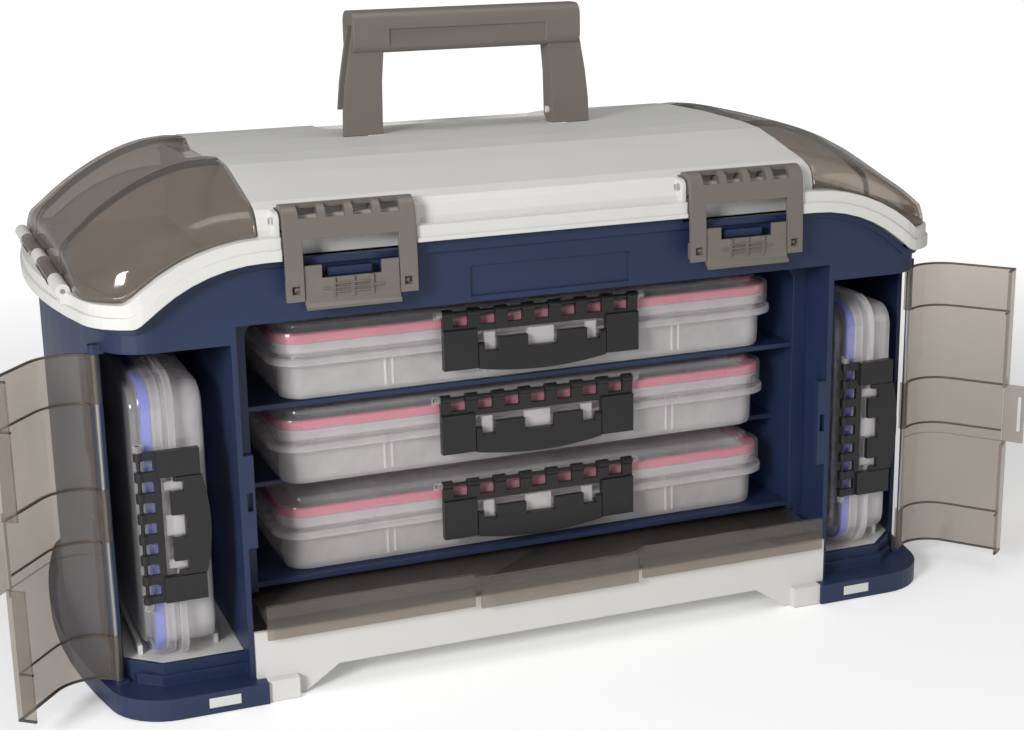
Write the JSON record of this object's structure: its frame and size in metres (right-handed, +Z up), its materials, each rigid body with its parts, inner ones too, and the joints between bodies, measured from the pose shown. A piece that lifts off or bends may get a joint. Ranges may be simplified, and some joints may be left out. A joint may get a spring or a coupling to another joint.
{
  "type": "fishing tackle cabinet",
  "caption": "Fishing tackle cabinet with a hinged lid, fold-down handle, smoke end covers, corner doors and pull-out utility boxes",
  "frame": {"origin": "middle of the footprint at rest, on the ground", "axes": "X across the front, Y from front to back, Z up"},
  "size_m": [0.7138, 0.3461, 0.4125],
  "materials": {
    "case_blue": "moulded, fine grain",
    "pale_grey": "moulded, fine grain",
    "taupe_plastic": "moulded, fine grain",
    "smoke_plastic": "smoke tinted clear plastic, glossy",
    "clear_plastic": "milky clear plastic",
    "gasket_pink": "soft seal",
    "gasket_blue": "soft seal",
    "clasp_black": "moulded",
    "pin_steel": "drawn rod",
    "rod_grey": "moulded rod"
  },
  "bodies": {
    "case": {"case_shell": "case_blue", "rack_frame": "case_blue", "rack_floor": "case_blue", "rack_shelf": "case_blue", "rack_rails": "case_blue", "bin_floor": "case_blue", "base_tray": "pale_grey", "lid_hinge_pin": "pin_steel", "door_pin_left": "pin_steel", "door_pin_right": "pin_steel"},
    "lid": {"lid": "pale_grey", "handle_mounts": "pale_grey", "cover_pin_left": "pin_steel", "cover_pin_right": "pin_steel", "latch_rod_left": "rod_grey", "latch_rod_right": "rod_grey"},
    "handle": {"handle_frame": "taupe_plastic", "handle_grip": "taupe_plastic"},
    "end_cover_left": {"end_cover_left": "smoke_plastic"},
    "end_cover_right": {"end_cover_right": "smoke_plastic"},
    "latch_plate_left": {"latch_plate_left": "taupe_plastic"},
    "latch_plate_right": {"latch_plate_right": "taupe_plastic"},
    "latch_lever_left": {"latch_lever_left": "taupe_plastic"},
    "latch_lever_right": {"latch_lever_right": "taupe_plastic"},
    "side_door_left": {"side_door_left": "smoke_plastic"},
    "side_door_right": {"side_door_right": "smoke_plastic"},
    "side_door_flap_left": {"side_door_flap_left": "smoke_plastic"},
    "side_door_flap_right": {"side_door_flap_right": "smoke_plastic"},
    "front_door": {"front_door": "smoke_plastic"},
    "front_door_flap": {"front_door_flap": "smoke_plastic"},
    "box1": {"box1_tub": "clear_plastic", "box1_lid": "clear_plastic", "box1_gasket": "gasket_pink", "box1_dividers": "clear_plastic"},
    "box1_clasp": {"box1_clasp": "clasp_black"},
    "box1_lever": {"box1_lever": "clasp_black"},
    "box2": {"box2_tub": "clear_plastic", "box2_lid": "clear_plastic", "box2_gasket": "gasket_pink", "box2_dividers": "clear_plastic"},
    "box2_clasp": {"box2_clasp": "clasp_black"},
    "box2_lever": {"box2_lever": "clasp_black"},
    "box3": {"box3_tub": "clear_plastic", "box3_lid": "clear_plastic", "box3_gasket": "gasket_pink", "box3_dividers": "clear_plastic"},
    "box3_clasp": {"box3_clasp": "clasp_black"},
    "box3_lever": {"box3_lever": "clasp_black"},
    "box_left": {"box_left_tub": "clear_plastic", "box_left_lid": "clear_plastic", "box_left_gasket": "gasket_blue", "box_left_dividers": "clear_plastic"},
    "box_left_clasp": {"box_left_clasp": "clasp_black"},
    "box_left_lever": {"box_left_lever": "clasp_black"},
    "box_right": {"box_right_tub": "clear_plastic", "box_right_lid": "clear_plastic", "box_right_gasket": "gasket_blue", "box_right_dividers": "clear_plastic"},
    "box_right_clasp": {"box_right_clasp": "clasp_black"},
    "box_right_lever": {"box_right_lever": "clasp_black"}
  },
  "joints": [
    {"name": "lid_hinge", "type": "hinge", "parent": "case", "child": "lid", "pos_m": [0, 0.1665, 0.283], "axis": [-1, 0, 0], "range_deg": [0, 95]},
    {"name": "handle_fold", "type": "hinge", "parent": "lid", "child": "handle", "pos_m": [0, 0, 0.338], "axis": [-1, 0, 0], "range_deg": [0, 88]},
    {"name": "end_cover_left_hinge", "type": "hinge", "parent": "lid", "child": "end_cover_left", "pos_m": [-0.2965, 0, 0.262], "axis": [0, -1, 0], "range_deg": [0, 100]},
    {"name": "latch_left_swing", "type": "hinge", "parent": "lid", "child": "latch_plate_left", "pos_m": [-0.1334, -0.156, 0.303], "axis": [-1, 0, 0], "range_deg": [0, 100]},
    {"name": "lever_left_swing", "type": "hinge", "parent": "latch_plate_left", "child": "latch_lever_left", "pos_m": [-0.1334, -0.1648, 0.262], "axis": [-1, 0, 0], "range_deg": [0, 28]},
    {"name": "side_door_left_hinge", "type": "hinge", "parent": "case", "child": "side_door_left", "pos_m": [-0.2845, -0.128, 0.1215], "axis": [0, 0, -1], "range_deg": [-128, 0]},
    {"name": "side_door_flap_left_hinge", "type": "hinge", "parent": "side_door_left", "child": "side_door_flap_left", "pos_m": [-0.34737, -0.16251, 0.121], "axis": [0, 0, -1], "range_deg": [0, 70]},
    {"name": "end_cover_right_hinge", "type": "hinge", "parent": "lid", "child": "end_cover_right", "pos_m": [0.2965, 0, 0.262], "axis": [0, 1, 0], "range_deg": [0, 100]},
    {"name": "latch_right_swing", "type": "hinge", "parent": "lid", "child": "latch_plate_right", "pos_m": [0.1334, -0.156, 0.303], "axis": [-1, 0, 0], "range_deg": [0, 100]},
    {"name": "lever_right_swing", "type": "hinge", "parent": "latch_plate_right", "child": "latch_lever_right", "pos_m": [0.1334, -0.1648, 0.262], "axis": [-1, 0, 0], "range_deg": [0, 28]},
    {"name": "side_door_right_hinge", "type": "hinge", "parent": "case", "child": "side_door_right", "pos_m": [0.2845, -0.128, 0.1215], "axis": [0, 0, 1], "range_deg": [-128, 0]},
    {"name": "side_door_flap_right_hinge", "type": "hinge", "parent": "side_door_right", "child": "side_door_flap_right", "pos_m": [0.34737, -0.16251, 0.121], "axis": [0, 0, 1], "range_deg": [0, 70]},
    {"name": "front_door_slide", "type": "slide", "parent": "case", "child": "front_door", "axis": [0, -1, 0], "range_m": [0, 0.19]},
    {"name": "front_door_flap_hinge", "type": "hinge", "parent": "front_door", "child": "front_door_flap", "pos_m": [0, -0.165, 0.06], "axis": [-1, 0, 0], "range_deg": [0, 80]},
    {"name": "box1_slide", "type": "slide", "parent": "case", "child": "box1", "axis": [0, -1, 0], "range_m": [0, 0.2]},
    {"name": "box1_clasp_hinge", "type": "hinge", "parent": "box1", "child": "box1_clasp", "pos_m": [0, -0.1282, 0.1134], "axis": [-1, 0, 0], "range_deg": [0, 85]},
    {"name": "box1_lever_hinge", "type": "hinge", "parent": "box1_clasp", "child": "box1_lever", "pos_m": [0, -0.1304, 0.092], "axis": [-1, 0, 0], "range_deg": [0, 40]},
    {"name": "box2_slide", "type": "slide", "parent": "case", "child": "box2", "axis": [0, -1, 0], "range_m": [0, 0.2]},
    {"name": "box2_clasp_hinge", "type": "hinge", "parent": "box2", "child": "box2_clasp", "pos_m": [0, -0.1282, 0.1718], "axis": [-1, 0, 0], "range_deg": [0, 85]},
    {"name": "box2_lever_hinge", "type": "hinge", "parent": "box2_clasp", "child": "box2_lever", "pos_m": [0, -0.1304, 0.1504], "axis": [-1, 0, 0], "range_deg": [0, 40]},
    {"name": "box3_slide", "type": "slide", "parent": "case", "child": "box3", "axis": [0, -1, 0], "range_m": [0, 0.2]},
    {"name": "box3_clasp_hinge", "type": "hinge", "parent": "box3", "child": "box3_clasp", "pos_m": [0, -0.1362, 0.2302], "axis": [-1, 0, 0], "range_deg": [0, 85]},
    {"name": "box3_lever_hinge", "type": "hinge", "parent": "box3_clasp", "child": "box3_lever", "pos_m": [0, -0.1384, 0.2088], "axis": [-1, 0, 0], "range_deg": [0, 40]},
    {"name": "box_left_slide", "type": "slide", "parent": "case", "child": "box_left", "axis": [0, -1, 0], "range_m": [0, 0.24]},
    {"name": "box_left_clasp_hinge", "type": "hinge", "parent": "box_left", "child": "box_left_clasp", "pos_m": [-0.2654, -0.1452, 0.119], "axis": [0, 0, -1], "range_deg": [0, 50]},
    {"name": "box_left_lever_hinge", "type": "hinge", "parent": "box_left_clasp", "child": "box_left_lever", "pos_m": [-0.244, -0.1474, 0.119], "axis": [0, 0, -1], "range_deg": [0, 35]},
    {"name": "box_right_slide", "type": "slide", "parent": "case", "child": "box_right", "axis": [0, -1, 0], "range_m": [0, 0.24]},
    {"name": "box_right_clasp_hinge", "type": "hinge", "parent": "box_right", "child": "box_right_clasp", "pos_m": [0.2241, -0.1452, 0.119], "axis": [0, 0, -1], "range_deg": [0, 50]},
    {"name": "box_right_lever_hinge", "type": "hinge", "parent": "box_right_clasp", "child": "box_right_lever", "pos_m": [0.2455, -0.1474, 0.119], "axis": [0, 0, -1], "range_deg": [0, 35]}
  ]
}
